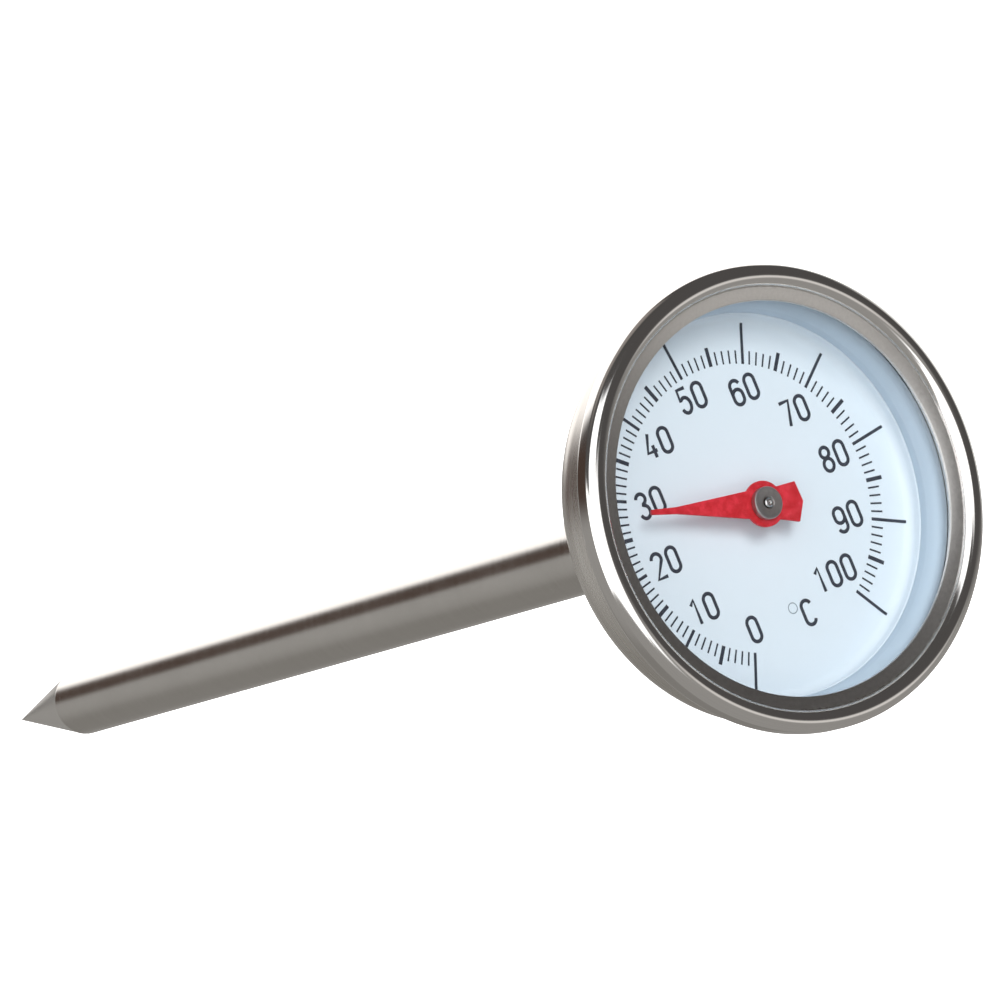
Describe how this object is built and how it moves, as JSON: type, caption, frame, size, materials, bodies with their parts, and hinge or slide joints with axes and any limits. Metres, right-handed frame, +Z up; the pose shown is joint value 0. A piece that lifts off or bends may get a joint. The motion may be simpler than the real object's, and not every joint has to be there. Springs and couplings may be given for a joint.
{
  "type": "dial thermometer",
  "caption": "Bimetal probe thermometer: a round glass-fronted dial head on a straight pointed steel stem, with a turning needle.",
  "frame": {"origin": "the apex of the probe's tip, on the axis of the stem", "axes": "+Z runs up the stem to the front of the dial, +Y is the way up of the numerals"},
  "size_m": [0.0482, 0.0482, 0.1739],
  "materials": {
    "case_steel": "satin drawn stainless steel",
    "bezel_steel": "polished stainless steel with a satin inner slope",
    "stem_steel": "satin stainless steel with a fine ground grain",
    "window_glass": "clear flat glass",
    "gasket_rubber": "matt black",
    "spacer_white": "white, soft sheen",
    "dial_enamel": "cool white paint with dark grey printed scale",
    "bush_brass": "turned",
    "bimetal_strip": "rolled strip",
    "hub_steel": "turned",
    "needle_red": "matt red paint"
  },
  "bodies": {
    "housing": {"case_cup": "case_steel", "bezel_ring": "bezel_steel", "window_lens": "window_glass", "window_gasket": "gasket_rubber", "spacer_ring": "spacer_white", "dial_plate": "dial_enamel", "dial_support_ring": "case_steel", "stem_tube": "stem_steel", "stem_tip": "stem_steel", "stem_flange": "case_steel", "upper_bearing": "bush_brass", "mid_guide": "bush_brass", "lower_guide": "bush_brass", "bimetal_coil": "bimetal_strip", "coil_anchor": "hub_steel"},
    "needle_assembly": {"coil_collar": "bush_brass", "spindle": "hub_steel", "thrust_collar": "hub_steel", "needle": "needle_red", "needle_hub": "hub_steel", "needle_sleeve": "hub_steel"}
  },
  "joints": [
    {"name": "needle_turn", "type": "hinge", "parent": "housing", "child": "needle_assembly", "pos_m": [0, 0, 0.166], "axis": [0, 0, -1], "range_deg": [-82.4, 219.1], "stiffness_Nm_per_rad": 0.002}
  ]
}
